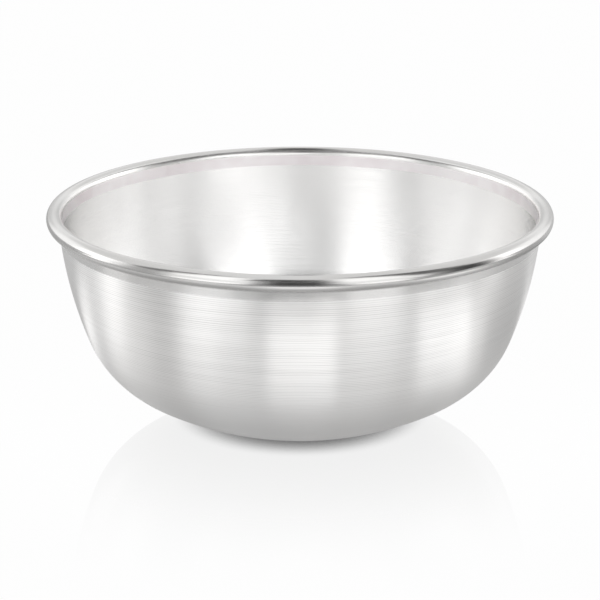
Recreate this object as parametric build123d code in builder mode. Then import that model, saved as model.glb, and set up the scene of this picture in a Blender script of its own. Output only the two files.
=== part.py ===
from build123d import *
from math import acos, asin, degrees
import os

# Offering bowl, spun from one silver sheet, with its lip rolled over a wire.
# Millimetres and degrees. +Z is up, the origin is the middle of the flat base, the front is -Y.

# Driving dimensions of the bowl, all on the outside of the sheet
RIM_DIAMETER = 100.0
BOWL_HEIGHT = 43.3
BASE_DIAMETER = 30.0
BASE_EDGE_RADIUS = 8.0
BOTTOM_RADIUS = 66.5
HEEL_RADIUS = 21.5
WALL_RADIUS = 81.5
WALL_LEAN = 3.8
SHEET = 0.8

# Driving dimensions of the rolled rim
WIRE_DIAMETER = 1.4
WIRE_CLEARANCE = 0.05
LIP_GAP = 0.1
SOLDER_REACH = 35.0

# Driving dimensions of the joint that closes the wire ring
JOINT_AZIMUTH = -50.0
JOINT_WIDTH = 0.2
SCARF_ANGLE = 45.0

# The roll: the sheet's outer face wraps the wire, and its inner face becomes the bead
roll_inner = WIRE_DIAMETER / 2 + WIRE_CLEARANCE
roll_outer = roll_inner + SHEET
bead_centre = Vector(RIM_DIAMETER / 2 - roll_outer, BOWL_HEIGHT - roll_outer)

# The wall runs into the roll without a corner, so its top lies square to the bead's centre
wall_out = Vector(1, 0).rotate(Axis.Z, -WALL_LEAN)
wall_top = bead_centre - wall_out * roll_inner
wall_centre = wall_top - wall_out * WALL_RADIUS
roll_start = 180 - WALL_LEAN

# The lip turns until its cut edge is one gap short of the wall
lip_turn = 180 + degrees(acos((LIP_GAP - roll_inner) / roll_outer))
solder_turn = 360 - SOLDER_REACH - lip_turn

# The soft edge of the flat base turns up to the slope at which the dished bottom starts
base_turn = degrees(asin(BASE_DIAMETER / 2 / (BOTTOM_RADIUS - BASE_EDGE_RADIUS)))

# A slab across the wire at the joint, big enough to cut it through
joint_place = Location((0, 0, 0), (0, 0, JOINT_AZIMUTH)) * Location((bead_centre.X, 0, bead_centre.Y))
slab_side = 4 * WIRE_DIAMETER


def ring_sector(start, turn):
    """Section of the roll between its two faces, from an angle clockwise about the bead's centre."""
    with BuildSketch() as sector:
        with BuildLine():
            inner_face = CenterArc(bead_centre, roll_inner, start, -turn)
            outer_face = CenterArc(bead_centre, roll_outer, start, -turn)
            Line(inner_face @ 0, outer_face @ 0)
            Line(inner_face @ 1, outer_face @ 1)
        make_face()
    return sector.sketch


# Outside line of the sheet from the axis to the top of the wall: every arc is tangent to the next
with BuildLine() as outside:
    base = Line((0, 0), (BASE_DIAMETER / 2, 0))
    base_edge = JernArc(base @ 1, base % 1, BASE_EDGE_RADIUS, base_turn)
    dish = JernArc(base_edge @ 1, base_edge % 1, BOTTOM_RADIUS, 90, mode=Mode.PRIVATE)
    barrel = CenterArc(wall_centre, WALL_RADIUS, -WALL_LEAN, -90, mode=Mode.PRIVATE)
    heel = ConstrainedArcs(
        (dish, Tangency.ENCLOSED),
        (barrel, Tangency.ENCLOSED),
        radius=HEEL_RADIUS,
        selector=lambda arcs: arcs.sort_by(Axis.Y)[0],
    )
    heel_start, heel_end = heel.vertices().sort_by(Axis.Y)
    bottom = RadiusArc(base_edge @ 1, heel_start, -BOTTOM_RADIUS)
    wall = RadiusArc(heel_end, wall_top, -WALL_RADIUS)

# Section of the sheet: its thickness lies inside that line, and the rolled lip goes on from the wall
with BuildSketch(Plane.XZ) as shell_section:
    with BuildLine():
        offset(outside.line, SHEET, side=Side.LEFT)
    make_face()
    add(ring_sector(roll_start, lip_turn))

# Spun bowl with its rolled lip
with BuildPart() as bowl_shell:
    add(shell_section.sketch)
    revolve(axis=Axis.Z)
bowl_shell.part.label = "bowl_shell"

# Wire ring that the lip is rolled over, cut by a slanted slot where its ends meet
with BuildPart() as rim_wire:
    with BuildSketch(Plane.XZ):
        with Locations(bead_centre):
            Circle(WIRE_DIAMETER / 2)
    revolve(axis=Axis.Z)
    with Locations(joint_place):
        Box(slab_side, JOINT_WIDTH, slab_side, rotation=(SCARF_ANGLE, 0, 0), mode=Mode.SUBTRACT)
rim_wire.part.label = "rim_wire"

# Wafer of solder that fills that slot and closes the ring
with BuildPart() as wire_joint:
    with BuildSketch(Plane.XZ):
        with Locations(bead_centre):
            Circle(WIRE_DIAMETER / 2)
    revolve(axis=Axis.Z)
    with Locations(joint_place):
        Box(slab_side, JOINT_WIDTH, slab_side, rotation=(SCARF_ANGLE, 0, 0), mode=Mode.INTERSECT)
wire_joint.part.label = "wire_joint"

# Run of solder between the lip's cut edge and the wall
with BuildPart() as rim_seam:
    with BuildSketch(Plane.XZ):
        add(ring_sector(roll_start - lip_turn, solder_turn))
        add(shell_section.sketch_local, mode=Mode.SUBTRACT)
    revolve(axis=Axis.Z)
rim_seam.part.label = "rim_seam"

os.makedirs("parts", exist_ok=True)
for piece in (bowl_shell, rim_wire, wire_joint, rim_seam):
    export_step(piece.part, f"parts/{piece.part.label}.step")
    print(piece.part.label, len(piece.part.solids()), "solid", round(piece.part.volume, 2), "mm3")
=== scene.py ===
# %% [markdown]
# # A spun silver offering bowl
#
# This lesson dresses one plain silver bowl for a studio picture. The bowl is spun from a single
# sheet, its lip is rolled over a wire, and then it is turned on a lathe to fine rings.
# We could model it by eye over the photograph, but an exact CAD model of it exists. We load that
# first, because every piece that we add has to sit where the CAD says.

# %% Load the frame
from math import acos, asin, atan2, cos, degrees, pi, radians, sin

import bpy
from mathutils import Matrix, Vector, noise
from mathutils.geometry import intersect_sphere_sphere_2d


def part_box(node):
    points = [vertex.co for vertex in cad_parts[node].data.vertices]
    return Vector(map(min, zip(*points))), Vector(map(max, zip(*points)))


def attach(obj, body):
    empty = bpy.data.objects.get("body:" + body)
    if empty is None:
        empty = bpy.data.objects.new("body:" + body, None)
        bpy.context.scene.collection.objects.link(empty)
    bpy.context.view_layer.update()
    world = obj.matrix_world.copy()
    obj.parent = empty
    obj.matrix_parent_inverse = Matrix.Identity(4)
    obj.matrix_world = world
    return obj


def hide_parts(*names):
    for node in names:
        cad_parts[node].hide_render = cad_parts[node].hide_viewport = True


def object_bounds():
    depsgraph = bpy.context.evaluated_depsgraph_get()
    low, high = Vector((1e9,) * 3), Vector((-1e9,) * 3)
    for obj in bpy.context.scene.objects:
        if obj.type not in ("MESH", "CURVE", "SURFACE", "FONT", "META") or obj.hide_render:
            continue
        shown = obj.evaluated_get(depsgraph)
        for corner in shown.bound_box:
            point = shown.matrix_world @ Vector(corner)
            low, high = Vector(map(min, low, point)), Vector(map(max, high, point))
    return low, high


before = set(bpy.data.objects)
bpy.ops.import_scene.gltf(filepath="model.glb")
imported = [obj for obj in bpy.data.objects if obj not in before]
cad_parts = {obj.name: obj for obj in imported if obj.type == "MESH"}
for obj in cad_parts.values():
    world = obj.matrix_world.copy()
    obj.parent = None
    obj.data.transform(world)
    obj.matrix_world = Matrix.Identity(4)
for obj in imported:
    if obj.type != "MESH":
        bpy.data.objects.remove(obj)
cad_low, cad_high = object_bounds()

print("CAD nodes:", sorted(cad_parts))
print("CAD box in metres:", tuple(cad_low), tuple(cad_high))

# %% [markdown]
# ## The camera
#
# A silver bowl is a mirror, so the picture depends on where we stand. The photograph was taken
# with a long lens from a little above the rim. We could drag the camera about until it looks
# right, but the rim's ellipse already gives the angle: its height over its width is the sine of
# the elevation. A named distance, angle and lens keep that reasoning in sight.

# %% Place the camera
MM = 0.001
CAMERA_ELEVATION = radians(17.21)
CAMERA_DISTANCE = 500 * MM
LENS = 150.0
SENSOR_WIDTH = 36.0
CLIP_START = 10 * MM
AIM = Vector((0, 0, 23.65 * MM))


def place_camera():
    """A camera on the front side, -Y, that looks down at the aim point."""
    lens = bpy.data.cameras.new("studio_camera")
    lens.lens = LENS
    lens.sensor_width = SENSOR_WIDTH
    lens.sensor_fit = "HORIZONTAL"
    lens.clip_start = CLIP_START
    lens.dof.use_dof = False
    camera = bpy.data.objects.new("studio_camera", lens)
    bpy.context.scene.collection.objects.link(camera)
    towards_camera = Vector((0, -cos(CAMERA_ELEVATION), sin(CAMERA_ELEVATION)))
    camera.location = AIM + towards_camera * CAMERA_DISTANCE
    camera.rotation_euler = (-towards_camera).to_track_quat("-Z", "Y").to_euler()
    bpy.context.scene.camera = camera
    return camera


camera = place_camera()
bpy.context.scene.view_settings.view_transform = "Standard"
print("camera stands at", tuple(round(v, 4) for v in camera.location))

# %% [markdown]
# ## Short words for shader nodes
#
# Blender's materials are graphs of nodes. Clicking them together is fine for one material, but
# this scene has several that share their parts, so a few small helpers make and join nodes by
# code. A part that several materials use becomes a node group, with named inputs and outputs.

# %% Helpers for single nodes
def set_input(tree, node, name, value):
    """Links an output to an input, or writes a plain value into it."""
    socket = node.inputs[name]
    if isinstance(value, bpy.types.NodeSocket):
        tree.links.new(value, socket)
    else:
        socket.default_value = value


def set_inputs(tree, node, inputs):
    """The same for several inputs, whose names are written with _ for each blank."""
    for name, value in inputs.items():
        set_input(tree, node, name.replace("_", " "), value)


def add_node(tree, kind, settings=(), **inputs):
    """Adds a node, sets its settings, and sets or links the inputs that are named."""
    node = tree.nodes.new(kind)
    for name, value in dict(settings).items():
        setattr(node, name, value)
    set_inputs(tree, node, inputs)
    return node


def maths(tree, operation, *values):
    """One Math node; each value is a number or another node's output."""
    node = add_node(tree, "ShaderNodeMath", {"operation": operation})
    for place, value in enumerate(values):
        set_input(tree, node, place, value)
    return node.outputs[0]


def soft_step(tree, value, low, high):
    """0 at low, 1 at high, and a smooth rise between them."""
    settings = {"interpolation_type": "SMOOTHSTEP"}
    return add_node(tree, "ShaderNodeMapRange", settings, Value=value, From_Min=low, From_Max=high).outputs[0]


print("node helpers are ready")

# %% Helpers for node groups
FLOAT = "NodeSocketFloat"
COLOR = "NodeSocketColor"


def new_group(name, inputs, outputs):
    """An empty shader node group with named inputs and outputs, each with its kind and start value."""
    group = bpy.data.node_groups.new(name, "ShaderNodeTree")
    for label, kind, start in inputs:
        socket = group.interface.new_socket(label, in_out="INPUT", socket_type=kind)
        socket.default_value = start
    for label, kind in outputs:
        group.interface.new_socket(label, in_out="OUTPUT", socket_type=kind)
    entry = group.nodes.new("NodeGroupInput")
    leave = group.nodes.new("NodeGroupOutput")
    return group, entry.outputs, leave.inputs


def place_group(tree, group, **inputs):
    """Places a node group in a material, with its own values."""
    node = add_node(tree, "ShaderNodeGroup", {"node_tree": group})
    set_inputs(tree, node, inputs)
    return node.outputs


print("group helpers are ready")

# %% [markdown]
# ## The light tent
#
# Photographers put shiny metal in a tent of white cloth, because the metal shows everything
# around it. Softboxes and lamps shine through the cloth, and between the panels there are darker
# gaps. Together they draw the upright streaks on the wall and in the hollow. We could hang area
# lamps, but a tent is all around, so we write it into the world. Each row below is a panel or a
# gap, with its edges in degrees and a strength, where 1 is white. Azimuth 0 is the camera's side,
# positive angles are to its right, and a later row covers an earlier one.

# %% Node group for one panel or gap of the tent
def make_panel_group():
    inputs = [
        ("Behind", FLOAT, 0.5),
        ("Azimuth", FLOAT, 0.0),
        ("Elevation", FLOAT, 0.0),
        ("Left", FLOAT, -10.0),
        ("Right", FLOAT, 10.0),
        ("Bottom", FLOAT, -90.0),
        ("Top", FLOAT, 60.0),
        ("Softness", FLOAT, 4.0),
        ("Strength", FLOAT, 1.0),
    ]
    group, given, out = new_group("Tent panel", inputs, [("Level", FLOAT)])
    half = maths(group, "MULTIPLY", given["Softness"], 0.5)

    def past(value, edge):
        low = maths(group, "SUBTRACT", edge, half)
        high = maths(group, "ADD", edge, half)
        return soft_step(group, value, low, high)

    past_left = past(given["Azimuth"], given["Left"])
    past_right = past(given["Azimuth"], given["Right"])
    past_bottom = past(given["Elevation"], given["Bottom"])
    past_top = past(given["Elevation"], given["Top"])
    across = maths(group, "SUBTRACT", past_left, past_right)
    upright = maths(group, "SUBTRACT", past_bottom, past_top)
    mask = maths(group, "MULTIPLY", across, upright)
    change = maths(group, "SUBTRACT", given["Strength"], given["Behind"])
    level = maths(group, "MULTIPLY_ADD", mask, change, given["Behind"])
    group.links.new(level, out["Level"])
    return group


panel_group = make_panel_group()
print("tent panel group has", len(panel_group.nodes), "nodes")

# %% The panels and gaps
CLOTH_LEVEL = 0.88
TENT = [
    # name, left, right, bottom, top, softness, strength
    ("white wall all round", -200, 200, -100, 26, 10, 1.08),
    ("dull backdrop left", -200, -150, -100, 16, 9, 0.70),
    ("dull backdrop right", 150, 200, -100, 16, 9, 0.70),
    ("left back panel", -142, -89, -100, 29, 10, 1.24),
    ("right back panel", 95, 138, -100, 29, 10, 1.24),
    ("left back lamp", -117, -93, -100, 29, 8, 1.70),
    ("right back lamp", 97, 116, -100, 29, 8, 1.70),
    ("low left softbox", -67, -27, -100, 24, 7, 1.10),
    ("low right softbox", 18, 53, -100, 24, 8, 1.10),
    ("left softbox", -67, -27, 22, 60, 7, 1.45),
    ("right softbox", 18, 53, 22, 60, 8, 1.45),
    ("left lamp", -46, -25, 10, 22, 6, 1.22),
    ("right lamp", 21, 46, 10, 22, 6, 1.22),
    ("low left gap", -82, -61, -100, 28, 9, 0.50),
    ("high left gap", -86, -64, 26, 70, 8, 0.20),
    ("low right gap", 57, 84, -100, 26, 9, 0.48),
    ("high right gap", 53, 88, 24, 76, 8, 0.16),
    ("camera gap", -26, 15, 34, 64, 12, 0.04),
    ("tripod gap", -21, -7, -8, 26, 6, 0.58),
    ("front panel", -6, 11, -2, 17, 5, 1.5),
]


def compass(tree, vector):
    """Azimuth in degrees and height of a direction or place: 0 is the front, positive is to its right."""
    parts = add_node(tree, "ShaderNodeSeparateXYZ", Vector=vector).outputs
    towards_front = maths(tree, "MULTIPLY", parts["Y"], -1.0)
    azimuth = maths(tree, "DEGREES", maths(tree, "ARCTAN2", parts["X"], towards_front))
    return azimuth, parts["Z"]


def hang_panels(tree, panels, base, azimuth, elevation):
    """Chains the panel group over a list of panels, and gives the level that comes out."""
    level = base
    for name, left, right, bottom, top, softness, strength in panels:
        outputs = place_group(
            tree, panel_group, Behind=level, Azimuth=azimuth, Elevation=elevation, Left=left, Right=right,
            Bottom=bottom, Top=top, Softness=softness, Strength=strength,
        )
        level = outputs["Level"]
        level.node.label = name
    return level


print("the tent has", len(TENT), "panels and gaps")

# %% The tent as a world
BACKDROP_WHITE = 0.992


def blank_tree(owner):
    """The empty node tree of a new world or material."""
    owner.use_nodes = True
    owner.node_tree.nodes.clear()
    return owner.node_tree


def grey(level):
    """A neutral colour."""
    return (level, level, level, 1)


def blend(tree, share, first, second):
    """Mixes two shaders: a share of 0 is the first and 1 is the second."""
    node = add_node(tree, "ShaderNodeMixShader", Fac=share)
    tree.links.new(first, node.inputs[1])
    tree.links.new(second, node.inputs[2])
    return node.outputs[0]


def hang_tent():
    """The tent for every ray, and plain white where the camera looks straight at it."""
    world = bpy.data.worlds.new("light_tent")
    tree = blank_tree(world)
    azimuth, upward = compass(tree, add_node(tree, "ShaderNodeTexCoord").outputs["Generated"])
    elevation = maths(tree, "DEGREES", maths(tree, "ARCSINE", upward))
    level = hang_panels(tree, TENT, CLOTH_LEVEL, azimuth, elevation)
    cloth = add_node(tree, "ShaderNodeBackground", Color=level).outputs[0]
    white = add_node(tree, "ShaderNodeBackground", Color=grey(BACKDROP_WHITE)).outputs[0]
    rays = add_node(tree, "ShaderNodeLightPath").outputs
    seen_direct = maths(tree, "MAXIMUM", rays["Is Camera Ray"], rays["Is Transmission Ray"])
    add_node(tree, "ShaderNodeOutputWorld", Surface=blend(tree, seen_direct, cloth, white))
    bpy.context.scene.world = world


hang_tent()
print("the world is", bpy.context.scene.world.name)

# %% [markdown]
# ## The floor
#
# The bowl stands on a white acrylic sheet. To the camera it is as white as the backdrop, so the
# two join without a line. It still has to carry the bowl's shadow and a faint mirror image.
# We could stand the bowl on a pure light, but that would swallow the shadow. So the floor is
# part glow and part real, shaded surface, and its mirror fades out with the distance.

# %% Floor shape
FLOOR_RADIUS = 1500 * MM
FLOOR_DROP = 0.05 * MM
FLOOR_SIDES = 96


def make_floor():
    mesh = bpy.data.meshes.new("studio_floor")
    ring = [radians(360 * k / FLOOR_SIDES) for k in range(FLOOR_SIDES)]
    corners = [(FLOOR_RADIUS * cos(a), FLOOR_RADIUS * sin(a), -FLOOR_DROP) for a in ring]
    mesh.from_pydata(corners, [], [range(FLOOR_SIDES)])
    floor = bpy.data.objects.new("studio_floor", mesh)
    bpy.context.scene.collection.objects.link(floor)
    return floor


floor = make_floor()
print("floor disc of", FLOOR_RADIUS * 2, "m")

# %% [markdown]
# ## What the metal sees in the floor
#
# The lower wall and the underside of the rim look down, so they show the floor and not the tent.
# A glossy sheet in a tent is never even: near the bowl lie pools of light and shade that come
# through and past it, and farther out the sheet mirrors the softboxes and gaps. We could light
# the sheet with real lamps, but then the camera would see the pools too, and in the picture the
# floor is white. So the same panel group lays them out round the bowl, for reflections alone.

# %% Pools of light round the bowl, and the tent mirrored farther out
POOL_BASE = 1.0
ANY_HEIGHT = (-100, 100)
POOLS = [
    # name, left, right, bottom and top, softness, strength
    ("front pool", -12, 13, *ANY_HEIGHT, 6, 1.95),
    ("front left pool", -46, -31, *ANY_HEIGHT, 8, 1.32),
    ("front left shade", -60, -48, *ANY_HEIGHT, 8, 0.80),
    ("left pool", -90, -77, *ANY_HEIGHT, 6, 1.30),
    ("far left shade", -103, -93, *ANY_HEIGHT, 5, 0.85),
    ("far left pool", -117, -106, *ANY_HEIGHT, 6, 1.40),
    ("back left shade", -150, -120, *ANY_HEIGHT, 6, 0.40),
    ("right pool", 46, 73, *ANY_HEIGHT, 6, 2.0),
    ("right shade", 82, 126, *ANY_HEIGHT, 10, 0.36),
]
FAR_BASE = 0.47
FAR_FLOOR = [
    # name, left, right, nearest and farthest in mm, softness, strength
    ("left softbox mirrored", -44, -26, -100, 5000, 8, 0.70),
    ("lens slit mirrored", -16, 9, -100, 5000, 9, 0.32),
    ("right softbox mirrored", 18, 40, -100, 5000, 8, 0.75),
    ("right panel mirrored", 64, 88, -100, 5000, 8, 0.58),
    ("left panel mirrored", -90, -74, -100, 5000, 8, 0.66),
    ("backdrop mirrored", 124, 160, -100, 5000, 8, 0.62),
    ("left lamp mirrored", -54, -22, 162, 5000, 10, 1.50),
    ("right lamp mirrored", 22, 44, 162, 5000, 10, 1.50),
    ("left back panel mirrored", -100, -84, 165, 5000, 10, 1.75),
    ("right back panel mirrored", 86, 98, 165, 5000, 10, 1.55),
]
UNDER_BOWL = 0.33
UNDER_GAIN = 0.27
UNDER_STEP = (25 * MM, 55 * MM)
BACK_DIM = 0.18
POOL_STEP = (50 * MM, 80 * MM)
FAR_STEP = (98 * MM, 113 * MM)


def light_in_floor(tree, azimuth, away):
    """Level of light in the floor: dim under the bowl, then the pools, then the mirrored tent."""

    def past(step, inner, outer):
        reached = soft_step(tree, away, *step)
        return maths(tree, "MULTIPLY_ADD", reached, maths(tree, "SUBTRACT", outer, inner), inner)

    to_front = maths(tree, "COSINE", maths(tree, "RADIANS", azimuth))
    facing = maths(tree, "MULTIPLY_ADD", to_front, BACK_DIM, 1 - BACK_DIM)
    open_floor = soft_step(tree, away, *UNDER_STEP)
    under = maths(tree, "MULTIPLY", maths(tree, "MULTIPLY_ADD", open_floor, UNDER_GAIN, UNDER_BOWL), facing)
    pools = hang_panels(tree, POOLS, POOL_BASE, azimuth, 0.0)
    distant = hang_panels(tree, FAR_FLOOR, FAR_BASE, azimuth, maths(tree, "DIVIDE", away, MM))
    return past(FAR_STEP, past(POOL_STEP, under, pools), distant)


print("the floor shows", len(POOLS), "pools and", len(FAR_FLOOR), "mirrored panels")

# %% [markdown]
# ## The floor's finish
#
# To the camera the sheet is white paper with two things on it: a dark line where the bowl almost
# touches it, and a faint mirror image that is gone a bowl's width away. Blender could leave the
# dark line to plain shadows, but in a white tent these are too weak, so an Ambient Occlusion node
# finds the narrow gap. The mirror takes a share of the paper's white, and a small make-up gives
# it back, so the floor stays white round the image.

# %% Floor finish
FLOOR_COLOR = 0.80
FLOOR_GLOW = 0.965
MIRROR_NEAR = 0.18
MIRROR_START = 25 * MM
MIRROR_END = 95 * MM
MIRROR_MAKE_UP = 0.22
CONTACT_REACH = 3.2 * MM
CONTACT_DEPTH = 0.95
CONTACT_FOCUS = 2.4
CONTACT_SAMPLES = 6


def length_of(tree, vector):
    """How far a place is from the origin."""
    node = add_node(tree, "ShaderNodeVectorMath", {"operation": "LENGTH"})
    tree.links.new(vector, node.inputs[0])
    return node.outputs["Value"]


def white_paper(tree, mirror_share):
    """What the camera sees: white, made up for the mirror, and dark at the contact."""
    contact = add_node(
        tree, "ShaderNodeAmbientOcclusion", {"samples": CONTACT_SAMPLES}, Distance=CONTACT_REACH
    )
    closed = maths(tree, "POWER", maths(tree, "SUBTRACT", 1.0, contact.outputs["AO"]), CONTACT_FOCUS)
    paper = maths(tree, "MULTIPLY_ADD", mirror_share, MIRROR_MAKE_UP, 1.0)
    level = maths(tree, "MULTIPLY_ADD", closed, -CONTACT_DEPTH, paper)
    return add_node(tree, "ShaderNodeEmission", Color=level).outputs[0]


def finish_floor():
    material = bpy.data.materials.new("white_acrylic_floor")
    tree = blank_tree(material)
    place = add_node(tree, "ShaderNodeTexCoord").outputs["Object"]
    azimuth = compass(tree, place)[0]
    away = length_of(tree, place)
    rays = add_node(tree, "ShaderNodeLightPath").outputs
    fade = soft_step(tree, away, MIRROR_START, MIRROR_END)
    mirror_share = maths(tree, "MULTIPLY_ADD", fade, -MIRROR_NEAR, MIRROR_NEAR)
    shaded = add_node(tree, "ShaderNodeBsdfDiffuse", Color=grey(FLOOR_COLOR)).outputs[0]
    for_metal = add_node(tree, "ShaderNodeEmission", Color=light_in_floor(tree, azimuth, away)).outputs[0]
    mirror = add_node(tree, "ShaderNodeBsdfGlossy", Roughness=0.0).outputs[0]
    glow = blend(tree, rays["Is Glossy Ray"], white_paper(tree, mirror_share), for_metal)
    seen_direct = maths(tree, "MAXIMUM", rays["Is Camera Ray"], rays["Is Transmission Ray"])
    seen = maths(tree, "MAXIMUM", seen_direct, rays["Is Glossy Ray"])
    sheet = blend(tree, maths(tree, "MULTIPLY", seen, FLOOR_GLOW), shaded, glow)
    polished = blend(tree, maths(tree, "MULTIPLY", mirror_share, rays["Is Camera Ray"]), sheet, mirror)
    add_node(tree, "ShaderNodeOutputMaterial", Surface=polished)
    material.cycles.emission_sampling = "NONE"
    floor.data.materials.append(material)


finish_floor()
print("floor finish: glow", FLOOR_GLOW, "mirror", MIRROR_NEAR)

# %% [markdown]
# ## The cloth near the bowl
#
# White light alone would leave the polished rim without a line. In front, the tent's cloth hangs
# round the bowl with two dark slits, one for the lens and one where two lengths of cloth part,
# and its roof has a dark seam. The rim draws all three as dark dashes. We could cut them into the
# world's tent too, but the world is endlessly far away, so the hollow would see them as large as
# the rim does. Cloth that hangs nearby keeps them small for the hollow. It is a backdrop out of
# the picture, so we hide it from the camera, and beside the slits it lets the tent's light through.

# %% Cloth with slits
SLIT_DARK = 0.06


def make_slit_cloth(name, slits, measures):
    """Clear cloth with slits, which are dark on the side that looks at the bowl."""
    material = bpy.data.materials.new(name)
    tree = blank_tree(material)
    place = add_node(tree, "ShaderNodeTexCoord").outputs["Object"]
    across, along = measures(tree, place)
    slit = hang_panels(tree, slits, 0.0, across, along)
    behind = add_node(tree, "ShaderNodeNewGeometry").outputs["Backfacing"]
    towards_bowl = maths(tree, "SUBTRACT", 1.0, behind)
    dark = add_node(
        tree, "ShaderNodeBsdfPrincipled", Base_Color=grey(0), Roughness=1.0, Specular_IOR_Level=0.0,
        Emission_Color=grey(SLIT_DARK), Emission_Strength=1.0,
        Alpha=maths(tree, "MULTIPLY", slit, towards_bowl),
    )
    add_node(tree, "ShaderNodeOutputMaterial", Surface=dark.outputs[0])
    material.cycles.emission_sampling = "NONE"
    return material


def hang_cloth(name, corners, faces, material):
    """A backdrop that only reflections see."""
    mesh = bpy.data.meshes.new(name)
    mesh.from_pydata(corners, [], faces)
    mesh.materials.append(material)
    cloth = bpy.data.objects.new(name, mesh)
    bpy.context.scene.collection.objects.link(cloth)
    cloth.visible_camera = False
    cloth.visible_diffuse = False
    cloth.visible_shadow = False
    return cloth


print("slits have a level of", SLIT_DARK)

# %% Front cloth
FRONT_RADIUS = 70 * MM
FRONT_FOOT = 36 * MM
FRONT_TOP = 56 * MM
FRONT_LEFT = -30
FRONT_RIGHT = 80
FRONT_STEPS = 55
FRONT_SLITS = [
    # name, left, right, bottom and top, softness, how closed to the light
    ("lens slit", -10, 9, *ANY_HEIGHT, 10, 1.0),
    ("right slit", 42, 61, *ANY_HEIGHT, 15, 1.0),
]


def hang_front():
    """A curved cloth before the bowl, whose faces look at it."""
    corners = []
    for k in range(FRONT_STEPS + 1):
        azimuth = radians(FRONT_LEFT + (FRONT_RIGHT - FRONT_LEFT) * k / FRONT_STEPS)
        for height in (FRONT_FOOT, FRONT_TOP):
            corners.append((FRONT_RADIUS * sin(azimuth), -FRONT_RADIUS * cos(azimuth), height))
    faces = [(2 * k, 2 * k + 1, 2 * k + 3, 2 * k + 2) for k in range(FRONT_STEPS)]
    material = make_slit_cloth("front_cloth", FRONT_SLITS, compass)
    return hang_cloth("tent_front", corners, faces, material)


tent_front = hang_front()
print("front cloth:", len(tent_front.data.polygons), "faces and", len(FRONT_SLITS), "slits")

# %% Roof
ROOF_HEIGHT = 70 * MM
ROOF_SIDE = 60 * MM
ROOF_FRONT = -20 * MM
ROOF_BACK = 90 * MM
ROOF_SEAM = [
    # name, left, right, front and back in mm, softness, how closed to the light
    ("roof seam", -4.2, 4.2, 4, 62, 4, 1.0),
]


def roof_measures(tree, place):
    """Millimetres to the right and towards the back."""
    parts = add_node(tree, "ShaderNodeSeparateXYZ", Vector=place).outputs
    return maths(tree, "DIVIDE", parts["X"], MM), maths(tree, "DIVIDE", parts["Y"], MM)


def hang_roof():
    """A level cloth over the back of the bowl, whose face looks down."""
    left_edge = [(-ROOF_SIDE, ROOF_FRONT, ROOF_HEIGHT), (-ROOF_SIDE, ROOF_BACK, ROOF_HEIGHT)]
    right_edge = [(ROOF_SIDE, ROOF_BACK, ROOF_HEIGHT), (ROOF_SIDE, ROOF_FRONT, ROOF_HEIGHT)]
    material = make_slit_cloth("roof_cloth", ROOF_SEAM, roof_measures)
    return hang_cloth("tent_roof", left_edge + right_edge, [(0, 1, 2, 3)], material)


tent_roof = hang_roof()
print("the roof looks", "down" if tent_roof.data.polygons[0].normal.z < 0 else "up")

# %% [markdown]
# ## The section of the sheet
#
# A spun bowl is the same all round, so one half section says everything about its shape. It
# could be drawn as a free curve, but a spinner works over a chuck that is turned to arcs, each
# running into the next without a corner. We use the same arcs as the CAD: flat base, soft edge,
# dished bottom, heel, bowed wall, and the lip that rolls outward over a wire. The sheet's
# thickness comes from moving each arc inward about the same centre.

# %% Sizes that the frame gives
wire_low, wire_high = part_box("rim_wire")
rim_radius = (cad_high.x - cad_low.x) / 2
bowl_height = cad_high.z - cad_low.z
bead_radius = cad_high.z - (wire_high.z + wire_low.z) / 2
bead_centre = Vector((rim_radius - bead_radius, bowl_height - bead_radius))
print("rim radius", round(rim_radius / MM, 2), "height", round(bowl_height / MM, 2), "mm")
print("bead radius", round(bead_radius / MM, 2), "mm")

# %% Sizes of the sheet and its arcs
SHEET = 0.8 * MM
BASE_RADIUS = 15 * MM
BASE_EDGE_RADIUS = 8 * MM
BOTTOM_RADIUS = 66.5 * MM
HEEL_RADIUS = 21.5 * MM
WALL_RADIUS = 81.5 * MM
WALL_LEAN = radians(3.8)
LIP_GAP = 0.1 * MM


def at_angle(angle):
    """Unit vector in the section at an angle from the outward direction."""
    return Vector((cos(angle), sin(angle)))


roll_radius = bead_radius - SHEET
wall_top = bead_centre - at_angle(-WALL_LEAN) * roll_radius
wall_centre = wall_top - at_angle(-WALL_LEAN) * WALL_RADIUS
base_turn = asin(BASE_RADIUS / (BOTTOM_RADIUS - BASE_EDGE_RADIUS))
edge_centre = Vector((BASE_RADIUS, BASE_EDGE_RADIUS))
bottom_centre = Vector((0, BASE_EDGE_RADIUS + (BOTTOM_RADIUS - BASE_EDGE_RADIUS) * cos(base_turn)))
heel_choices = intersect_sphere_sphere_2d(
    bottom_centre, BOTTOM_RADIUS - HEEL_RADIUS, wall_centre, WALL_RADIUS - HEEL_RADIUS
)
heel_centre = min(heel_choices, key=lambda place: place.y)
print("heel centre", tuple(round(v / MM, 2) for v in heel_centre), "mm")

# %% Angles at which one arc runs into the next
def heading(start, end):
    """Angle of the line from one point of the section to another."""
    return atan2(end.y - start.y, end.x - start.x)


base_angle = -pi / 2 + base_turn
bottom_angle = heading(bottom_centre, heel_centre)
heel_angle = heading(wall_centre, heel_centre)
roll_angle = pi - WALL_LEAN
lip_angle = roll_angle - pi - acos((LIP_GAP - roll_radius) / bead_radius)
print("bottom meets heel at", round(degrees(bottom_angle), 1), "degrees")
print("heel meets wall at", round(degrees(heel_angle), 1), "degrees")

# %% [markdown]
# ## Zones of finish
#
# The maker polishes the rim last. Under the bead a smooth collar runs round the outside, and a
# burnished band runs round the inside, where a tool was pressed by hand against the turning
# bowl. Everything else keeps its turned rings. We could paint the zones with masks in one
# material, but then their edges would blur. So each stretch of the section carries the number of
# its finish, and the zones meet on clean edges of the mesh.

# %% Helpers for the section
TURNED_OUTSIDE, COLLAR, BEAD, LIP_BAND, TURNED_INSIDE = range(5)


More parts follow.
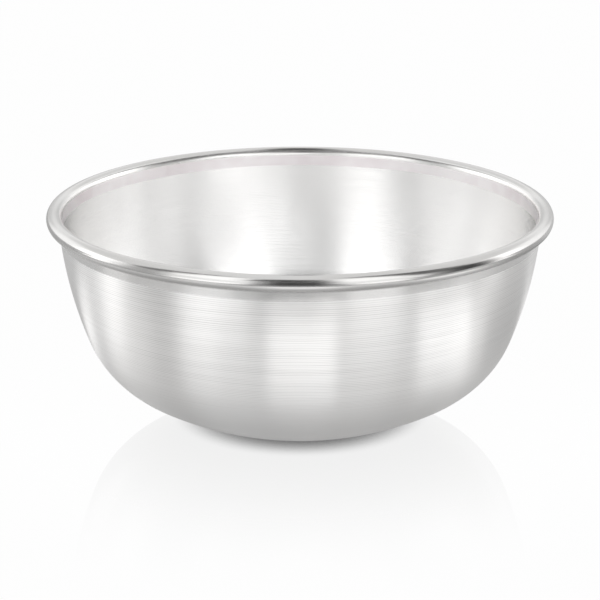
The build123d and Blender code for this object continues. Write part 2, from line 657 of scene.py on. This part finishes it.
def arc_to(section, centre, radius, first, last, steps, finish):
    """Adds a round stretch to the section, without its first point, which is already there."""
    for k in range(1, steps + 1):
        angle = first + (last - first) * k / steps
        section.append((centre + at_angle(angle) * radius, finish))


def wall_angle_at(height, radius):
    """Angle about the wall's centre at which a face of the wall has that height."""
    return asin((height - wall_centre.y) / radius)


print("finishes are numbered", TURNED_OUTSIDE, "to", TURNED_INSIDE)

# %% The section as a list of points, each with the finish of the stretch that ends there
COLLAR_FOOT = 38.07 * MM
LIP_BAND_FOOT = 39.64 * MM
BASE_RINGS = (0.04, 0.3, 0.65, 1.0)
EDGE_STEPS = 6
BOTTOM_STEPS = 14
HEEL_STEPS = 16
OUTER_WALL_STEPS = 20
COLLAR_STEPS = 6
ROLL_STEPS = 16
BEAD_STEPS = 40
LIP_BAND_STEPS = 4
INNER_WALL_STEPS = 22


def draw_outside(section):
    """From the middle of the base up the wall and round the wire's bed to the edge of the lip."""
    finish = TURNED_OUTSIDE
    collar_angle = wall_angle_at(COLLAR_FOOT, WALL_RADIUS)
    section.append((Vector((0, 0)), finish))
    for share in BASE_RINGS:
        section.append((Vector((BASE_RADIUS * share, 0)), finish))
    arc_to(section, edge_centre, BASE_EDGE_RADIUS, -pi / 2, base_angle, EDGE_STEPS, finish)
    arc_to(section, bottom_centre, BOTTOM_RADIUS, base_angle, bottom_angle, BOTTOM_STEPS, finish)
    arc_to(section, heel_centre, HEEL_RADIUS, bottom_angle, heel_angle, HEEL_STEPS, finish)
    arc_to(section, wall_centre, WALL_RADIUS, heel_angle, collar_angle, OUTER_WALL_STEPS, finish)
    arc_to(section, wall_centre, WALL_RADIUS, collar_angle, -WALL_LEAN, COLLAR_STEPS, COLLAR)
    arc_to(section, bead_centre, roll_radius, roll_angle, lip_angle, ROLL_STEPS, COLLAR)
    section.append((bead_centre + at_angle(lip_angle) * bead_radius, COLLAR))


def draw_inside(section):
    """From the edge of the lip over the bead and down the hollow to its middle."""
    finish = TURNED_INSIDE
    wall = WALL_RADIUS - SHEET
    heel = HEEL_RADIUS - SHEET
    bottom = BOTTOM_RADIUS - SHEET
    edge = BASE_EDGE_RADIUS - SHEET
    band_angle = wall_angle_at(LIP_BAND_FOOT, wall)
    arc_to(section, bead_centre, bead_radius, lip_angle, roll_angle, BEAD_STEPS, BEAD)
    arc_to(section, wall_centre, wall, -WALL_LEAN, band_angle, LIP_BAND_STEPS, LIP_BAND)
    arc_to(section, wall_centre, wall, band_angle, heel_angle, INNER_WALL_STEPS, finish)
    arc_to(section, heel_centre, heel, heel_angle, bottom_angle, HEEL_STEPS, finish)
    arc_to(section, bottom_centre, bottom, bottom_angle, base_angle, BOTTOM_STEPS, finish)
    arc_to(section, edge_centre, edge, base_angle, -pi / 2, EDGE_STEPS, finish)
    for share in (*reversed(BASE_RINGS[:-1]), 0.0):
        section.append((Vector((BASE_RADIUS * share, SHEET)), finish))


section = []
draw_outside(section)
draw_inside(section)
print("the section has", len(section), "points")

# %% [markdown]
# ## Turning the section into a bowl
#
# Blender's Screw modifier could turn a profile round the axis. We lay the rings of points
# ourselves instead, because then each strip of faces knows its finish, and the edge of the
# burnished band can waver by a fraction of a millimetre, as a hand-held tool leaves it.

# %% Rings of points
AROUND = 256
BAND_WAVER = 0.16 * MM
BAND_WAVES = 3.2
WAVER_SLICE = 0.4


def waver_at(angle):
    """How far the burnished band's edge strays at an angle round the bowl, from -1 to 1."""
    return noise.noise(Vector((cos(angle), sin(angle), WAVER_SLICE)) * BAND_WAVES)


def ring_points(k):
    """Points of one ring of the bowl; the two ends of the section are single points."""
    place, finish = section[k]
    if place.x == 0:
        return [(0, 0, place.y)]
    band_edge = finish == LIP_BAND and section[k + 1][1] == TURNED_INSIDE
    points = []
    for step in range(AROUND):
        angle = 2 * pi * step / AROUND
        here = place
        if band_edge:
            along = (section[k + 1][0] - place).normalized()
            here = place + along * BAND_WAVER * waver_at(angle)
        points.append((here.x * cos(angle), here.x * sin(angle), here.y))
    return points


print("each ring has", AROUND, "points")

# %% Lathe
SHARP_ANGLE = radians(35)


def turn_bowl():
    points = []
    rings = []
    for k in range(len(section)):
        ring = ring_points(k)
        rings.append(range(len(points), len(points) + len(ring)))
        points.extend(ring)
    faces = []
    finishes = []
    for k in range(1, len(section)):
        first, second = rings[k - 1], rings[k]
        for step in range(AROUND):
            after = (step + 1) % AROUND
            corners = [first[step % len(first)], first[after % len(first)]]
            corners += [second[after % len(second)], second[step % len(second)]]
            faces.append(list(dict.fromkeys(corners)))
            finishes.append(section[k][1])
    mesh = bpy.data.meshes.new("silver_bowl")
    mesh.from_pydata(points, [], faces)
    mesh.polygons.foreach_set("material_index", finishes)
    mesh.polygons.foreach_set("use_smooth", [True] * len(faces))
    mesh.set_sharp_from_angle(angle=SHARP_ANGLE)
    mesh.update()
    return bpy.data.objects.new("silver_bowl", mesh)


bowl = turn_bowl()
bpy.context.scene.collection.objects.link(bowl)
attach(bowl, "root")
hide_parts("bowl_shell")
print("bowl mesh:", len(bowl.data.vertices), "points,", len(bowl.data.polygons), "faces")

# %% [markdown]
# ## Turned rings
#
# A turning tool leaves fine grooves that run round the bowl. They spread a reflection up and
# down into a streak, which is why brushed metal shows upright bands of light. The rings could be
# modelled, but there are well over a hundred of them, and each is far shallower than a hair, so
# they are a bump. The pattern follows the distance from the axis plus the height, which grows
# steadily along the section, and it is laid on a circle so that it closes without a seam.
# Towards the base the grooves fade, because the tool is pressed less there.

# %% Node group: turned rings
STREAK_LENGTH = 1.3
DRIFT_PER_RING = 0.23
STREAKS_PER_RING = 0.80
DEEP_STREAKS = (0.36, 0.66)
GROOVE_CUT = (-0.4, 1.0)
GROOVE_FADE = (6 * MM, 24 * MM)
STREAK_RELIEF = 1.2


def flat_part(tree, parts):
    """The place without its height."""
    return add_node(tree, "ShaderNodeCombineXYZ", X=parts["X"], Y=parts["Y"]).outputs[0]


def make_rings_group():
    inputs = [("Pitch", FLOAT, 0.5), ("Waver", FLOAT, 0.4)]
    outputs = [("Height", FLOAT), ("Lines", FLOAT), ("Streaks", FLOAT)]
    group, given, out = new_group("Turned rings", inputs, outputs)
    place = add_node(group, "ShaderNodeTexCoord").outputs["Object"]
    parts = add_node(group, "ShaderNodeSeparateXYZ", Vector=place).outputs
    flat = flat_part(group, parts)
    around = add_node(group, "ShaderNodeVectorMath", {"operation": "NORMALIZE"})
    group.links.new(flat, around.inputs[0])
    turn = add_node(group, "ShaderNodeSeparateXYZ", Vector=around.outputs[0]).outputs
    along = maths(group, "DIVIDE", maths(group, "ADD", length_of(group, flat), parts["Z"]), MM)
    rings = maths(group, "DIVIDE", along, given["Pitch"])

    def ring_noise(per_ring, detail):
        vector = add_node(
            group, "ShaderNodeCombineXYZ",
            X=maths(group, "MULTIPLY", turn["X"], STREAK_LENGTH),
            Y=maths(group, "MULTIPLY", turn["Y"], STREAK_LENGTH),
            Z=maths(group, "MULTIPLY", rings, per_ring),
        ).outputs[0]
        return add_node(group, "ShaderNodeTexNoise", Vector=vector, Scale=1.0, Detail=detail).outputs[0]

    drift = ring_noise(DRIFT_PER_RING, 1.0)
    phase = maths(group, "MULTIPLY_ADD", drift, given["Waver"], rings)
    groove = maths(group, "SINE", maths(group, "MULTIPLY", phase, 2 * pi))
    streaks = ring_noise(STREAKS_PER_RING, 2.0)
    deep = soft_step(group, streaks, *DEEP_STREAKS)
    cut = soft_step(group, groove, *GROOVE_CUT)
    fresh = soft_step(group, parts["Z"], *GROOVE_FADE)
    strength = maths(group, "MULTIPLY", fresh, maths(group, "MULTIPLY_ADD", deep, 0.5, 0.5))
    lines = maths(group, "MULTIPLY", cut, strength)
    height = maths(group, "SUBTRACT", maths(group, "MULTIPLY", streaks, STREAK_RELIEF), lines)
    group.links.new(height, out["Height"])
    group.links.new(lines, out["Lines"])
    group.links.new(streaks, out["Streaks"])
    return group


rings_group = make_rings_group()
print("turned rings group has", len(rings_group.nodes), "nodes")

# %% [markdown]
# ## Hand polish
#
# A polished rim is never a perfect mirror. The buff leaves a gentle unevenness of a few
# millimetres, hairline scratches that run with the rim, and a thin haze where fingers touched it.
# Each finish could have its own noise, but all the smooth silver was polished by the same hand,
# so it shares this one group, and each finish sets how strong it is.

# %% Node group: hand polish
SCRATCH_SIZE = 0.22 * MM
SCRATCH_TURNS = 9.0
HAZE_SCALE = 110.0


def make_polish_group():
    outputs = [("Waves", FLOAT), ("Scratches", FLOAT), ("Haze", FLOAT)]
    group, given, out = new_group("Hand polish", [("Wave Size", FLOAT, 5.0)], outputs)
    place = add_node(group, "ShaderNodeTexCoord").outputs["Object"]
    per_metre = maths(group, "DIVIDE", 1 / MM, given["Wave Size"])
    waves = add_node(group, "ShaderNodeTexNoise", Vector=place, Scale=per_metre, Detail=1.0)
    haze = add_node(group, "ShaderNodeTexNoise", Vector=place, Scale=HAZE_SCALE, Detail=4.0, Roughness=0.62)
    parts = add_node(group, "ShaderNodeSeparateXYZ", Vector=place).outputs
    swing = maths(group, "ARCTAN2", parts["Y"], parts["X"])
    along_rim = add_node(
        group, "ShaderNodeCombineXYZ",
        X=maths(group, "MULTIPLY", maths(group, "SINE", swing), SCRATCH_TURNS),
        Y=maths(group, "MULTIPLY", maths(group, "COSINE", swing), SCRATCH_TURNS),
        Z=maths(group, "DIVIDE", parts["Z"], SCRATCH_SIZE),
    ).outputs[0]
    hairs = add_node(group, "ShaderNodeTexNoise", Vector=along_rim, Scale=1.0, Detail=2.0)
    group.links.new(waves.outputs[0], out["Waves"])
    group.links.new(hairs.outputs[0], out["Scratches"])
    group.links.new(haze.outputs[0], out["Haze"])
    return group


polish_group = make_polish_group()
print("hand polish group has", len(polish_group.nodes), "nodes")

# %% [markdown]
# ## The tone of silver
#
# Clean silver is almost neutral and throws back more than nine tenths of the light. Where it is
# handled less, a breath of tarnish warms it. A plain colour would look like plastic, so one group
# mixes the two tones with a soft cloud, and no silver in the scene is a single flat colour.

# %% Node group: silver tone
SILVER = (0.962, 0.958, 0.950, 1)
WARM_SILVER = (0.93, 0.918, 0.902, 1)
CLOUD_SCALE = 48.0
CLOUD_EDGES = (0.36, 0.68)


def make_tone_group():
    inputs = [
        ("Clean", COLOR, SILVER),
        ("Warm", COLOR, WARM_SILVER),
        ("Amount", FLOAT, 0.5),
        ("Grain", FLOAT, 0.5),
        ("Shade", FLOAT, 0.0),
    ]
    group, given, out = new_group("Silver tone", inputs, [("Color", COLOR)])
    place = add_node(group, "ShaderNodeTexCoord").outputs["Object"]
    cloud = add_node(group, "ShaderNodeTexNoise", Vector=place, Scale=CLOUD_SCALE, Detail=3.0, Roughness=0.55)
    soft = soft_step(group, cloud.outputs[0], *CLOUD_EDGES)
    grain = maths(group, "MULTIPLY_ADD", given["Grain"], 0.5, soft)
    share = maths(group, "MULTIPLY", grain, given["Amount"])
    mix = add_node(group, "ShaderNodeMix", {"data_type": "RGBA", "clamp_factor": True})
    factor, clean, warm = mix.inputs[0], mix.inputs[6], mix.inputs[7]
    group.links.new(share, factor)
    group.links.new(given["Clean"], clean)
    group.links.new(given["Warm"], warm)
    # Shade darkens the colour: painted shade from the groove lines and the rim's corners, and painted light
    # where it is negative.
    bright = maths(group, "SUBTRACT", 1.0, given["Shade"])
    dim = add_node(group, "ShaderNodeVectorMath", {"operation": "SCALE"}, Scale=bright)
    group.links.new(mix.outputs[2], dim.inputs[0])
    group.links.new(dim.outputs[0], out["Color"])
    return group


tone_group = make_tone_group()
print("silver tone group has", len(tone_group.nodes), "nodes")

# %% [markdown]
# ## Turned silver, outside and inside
#
# The wall's grooves lie level, so its gloss is stretched upright. We could fake that with a
# stretched picture of the room, but the shader's Anisotropic value does it for any light, with a
# tangent that runs round the axis. The streaks also vary the roughness a little, and the lines of
# the grooves darken the colour as painted shade. The inside was turned with a finer feed than the
# outside, so it is smoother, brighter and has fainter grooves.

# %% Start of every silver
UPRIGHT_SPREAD = 0.25


def start_metal(name, anisotropic=0.0):
    """A metal shader on its own; its gloss may be stretched upright, with a tangent round the axis."""
    material = bpy.data.materials.new(name)
    material.use_nodes = True
    tree = material.node_tree
    shader = tree.nodes["Principled BSDF"]
    set_input(tree, shader, "Metallic", 1.0)
    if anisotropic:
        tangent = add_node(tree, "ShaderNodeTangent", {"direction_type": "RADIAL", "axis": "Z"}).outputs[0]
        stretch = {"Anisotropic": anisotropic, "Anisotropic_Rotation": UPRIGHT_SPREAD, "Tangent": tangent}
        set_inputs(tree, shader, stretch)
    return material, tree, shader


print("silver starts as a plain metal")

# %% Material for turned silver
TURNED_TARNISH = 0.45
STREAK_ROUGHNESS = 0.06
RING_DEPTH = 0.02 * MM
CLEAR_SILVER = (0.988, 0.986, 0.980, 1)


def make_turned_silver(name, pitch, waver, rough, anisotropic, bump, painted_groove_shade, clean, warm):
    material, tree, shader = start_metal(name, anisotropic)
    rings = place_group(tree, rings_group, Pitch=pitch, Waver=waver)
    # Painted shade: the groove lines darken the colour, as shadow in the grooves would.
    shade = maths(tree, "MULTIPLY", rings["Lines"], painted_groove_shade)
    tone = place_group(
        tree, tone_group, Clean=clean, Warm=warm, Amount=TURNED_TARNISH, Grain=rings["Streaks"], Shade=shade
    )
    smoothest = rough - STREAK_ROUGHNESS / 2
    roughness = maths(tree, "MULTIPLY_ADD", rings["Streaks"], STREAK_ROUGHNESS, smoothest)
    relief = add_node(tree, "ShaderNodeBump", Strength=bump, Distance=RING_DEPTH, Height=rings["Height"])
    looks = {"Base_Color": tone["Color"], "Roughness": roughness, "Normal": relief.outputs[0]}
    set_inputs(tree, shader, looks)
    return material


turned_outside = make_turned_silver(
    "turned_silver_outside", pitch=0.46, waver=1.3, rough=0.35, anisotropic=0.95, bump=0.5,
    painted_groove_shade=0.20, clean=SILVER, warm=WARM_SILVER,
)
turned_inside = make_turned_silver(
    "turned_silver_inside", pitch=0.40, waver=1.2, rough=0.26, anisotropic=0.4, bump=0.15,
    painted_groove_shade=0.06, clean=CLEAR_SILVER, warm=SILVER,
)
print("turned silver:", turned_outside.name, "and", turned_inside.name)

# %% [markdown]
# ## Polished and burnished silver
#
# The bead, the collar and the lip band have no rings. They differ in how bright the polish is:
# the bead is glossy but greyer than the wall, the collar is about as smooth and brighter, and the
# burnished band is soft, blotchy and slightly pink, as rubbed silver is. A buff doesn't reach
# every spot, so the bead's underside and the corner of the collar are rougher. Their colour is
# darkened as painted shade, under the bead and in the corner, and the inner side of the bead is
# lightened as painted light. These could be separate zones of the mesh, but they have no edges,
# so each is a soft step over the height or the radius.

# %% Painted shade and light on the rim, and where the buff reaches
# Painted shade under the bead, darkest at its foot; the roughness is also raised there.
UNDER_BEAD = [
    # along, start and end from the bead's middle in bead radii, how much darker, how much rougher
    ("height", 0.02, -0.48, 0.34, 0.28),
    ("height", -0.80, -0.97, 0.50, 0.10),
]
# Painted light: the negative depth lightens the inner side of the bead.
INNER_BEAD = [("radius", -0.55, -0.80, -0.28, 0.06)]
# Painted shade in the corner of the collar, just under the bead.
CORNER_OF_COLLAR = [("height", -1.45, -1.08, 0.78, 0.20)]


def paint_shade_and_matt(tree, corners, roughness):
    """Painted shade for the colour, which is painted light where a depth is negative, and the roughness,
    changed where the buff reaches less or more.
    """
    place = add_node(tree, "ShaderNodeTexCoord").outputs["Object"]
    parts = add_node(tree, "ShaderNodeSeparateXYZ", Vector=place).outputs
    from_axis = length_of(tree, flat_part(tree, parts))
    measures = {"height": (parts["Z"], bead_centre.y), "radius": (from_axis, bead_centre.x)}
    shade = 0.0
    for along, start, end, depth, matt in corners:
        measure, middle = measures[along]
        painted_and_matt_mask = soft_step(tree, measure, middle + start * bead_radius, middle + end * bead_radius)
        shade = maths(tree, "MULTIPLY_ADD", painted_and_matt_mask, depth, shade)
        roughness = maths(tree, "MULTIPLY_ADD", painted_and_matt_mask, matt, roughness)
    return shade, roughness


# These rows paint shade and light into the colour and change the roughness.
print("the buff changes", len(UNDER_BEAD + INNER_BEAD + CORNER_OF_COLLAR), "places")

# %% Material for smooth silver
SMOOTH_TARNISH = 0.6
HAZE_SWING = 0.4
BLOTCH_EDGES = (0.42, 0.58)
SCRATCH_DEPTH = 0.01 * MM


def make_smooth_silver(name, rough, wave_size, wave_depth, scratch, clean, warm, corners=(), blotch=0.0):
    """Silver without rings; the size and depth of its waves are in millimetres."""
    material, tree, shader = start_metal(name)
    polish = place_group(tree, polish_group, Wave_Size=wave_size)
    grain = polish["Haze"]
    if blotch:
        grain = maths(tree, "MULTIPLY_ADD", soft_step(tree, polish["Waves"], *BLOTCH_EDGES), blotch, grain)
    tone = place_group(tree, tone_group, Clean=clean, Warm=warm, Amount=SMOOTH_TARNISH, Grain=grain)
    low, high = rough * (1 - HAZE_SWING), rough * (1 + HAZE_SWING)
    hazy = add_node(tree, "ShaderNodeMapRange", Value=polish["Haze"], To_Min=low, To_Max=high)
    roughness = hazy.outputs["Result"]
    # The rows paint shade into the colour, and light where a depth is negative, and change the roughness.
    if corners:
        shade, roughness = paint_shade_and_matt(tree, corners, roughness)
        set_input(tree, tone["Color"].node, "Shade", shade)
    dents = add_node(tree, "ShaderNodeBump", Strength=1.0, Distance=wave_depth * MM, Height=polish["Waves"])
    hairs = add_node(
        tree, "ShaderNodeBump", Strength=scratch, Distance=SCRATCH_DEPTH, Height=polish["Scratches"],
        Normal=dents.outputs[0],
    )
    looks = {"Base_Color": tone["Color"], "Roughness": roughness, "Normal": hairs.outputs[0]}
    set_inputs(tree, shader, looks)
    return material


print("smooth silver swings its roughness by", HAZE_SWING, "of itself")

# %% Finishes of the bowl
BLUSH = (0.985, 0.965, 0.970, 1)
WARM_BLUSH = (0.90, 0.845, 0.862, 1)
BEAD_TONE = (0.735, 0.730, 0.722, 1)
WARM_BEAD = (0.675, 0.665, 0.652, 1)
collar_silver = make_smooth_silver(
    "collar_silver", rough=0.18, wave_size=6.0, wave_depth=0.006, scratch=0.2,
    clean=SILVER, warm=WARM_SILVER, corners=CORNER_OF_COLLAR,
)
bead_silver = make_smooth_silver(
    "bead_silver", rough=0.19, wave_size=4.0, wave_depth=0.012, scratch=0.3,
    clean=BEAD_TONE, warm=WARM_BEAD, corners=UNDER_BEAD + INNER_BEAD,
)
lip_silver = make_smooth_silver(
    "lip_silver", rough=0.36, wave_size=4.5, wave_depth=0.10, scratch=0.4,
    clean=BLUSH, warm=WARM_BLUSH, blotch=0.9,
)
for material in (turned_outside, collar_silver, bead_silver, lip_silver, turned_inside):
    bowl.data.materials.append(material)
print("bowl finishes:", [material.name for material in bowl.data.materials])

# %% [markdown]
# ## Wire and solder
#
# The wire ring and its scarf joint are sealed inside the rolled lip, and the solder run closes
# the slot between the lip and the wall. They could be built again as meshes, but the CAD's own
# solids are exact, so only their finish is made here: drawn wire keeps fine lines along its
# length, and solder stays a little grey.

# %% Finish for the wire, its joint and the solder run
WIRE_TONE = (0.86, 0.855, 0.845, 1)
WARM_WIRE = (0.80, 0.785, 0.765, 1)
SOLDER = (0.46, 0.452, 0.44, 1)
GREY_SOLDER = (0.24, 0.234, 0.225, 1)
wire_silver = make_smooth_silver(
    "drawn_wire_silver", rough=0.34, wave_size=2.0, wave_depth=0.010, scratch=0.6,
    clean=WIRE_TONE, warm=WARM_WIRE,
)
solder_silver = make_smooth_silver(
    "filed_solder", rough=0.38, wave_size=1.2, wave_depth=0.040, scratch=0.5,
    clean=SOLDER, warm=GREY_SOLDER,
)
for node_name, material in (
    ("rim_wire", wire_silver),
    ("wire_joint", solder_silver),
    ("rim_seam", solder_silver),
):
    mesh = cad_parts[node_name].data
    mesh.materials.clear()
    mesh.materials.append(material)
    print("CAD node", node_name, "has", material.name)
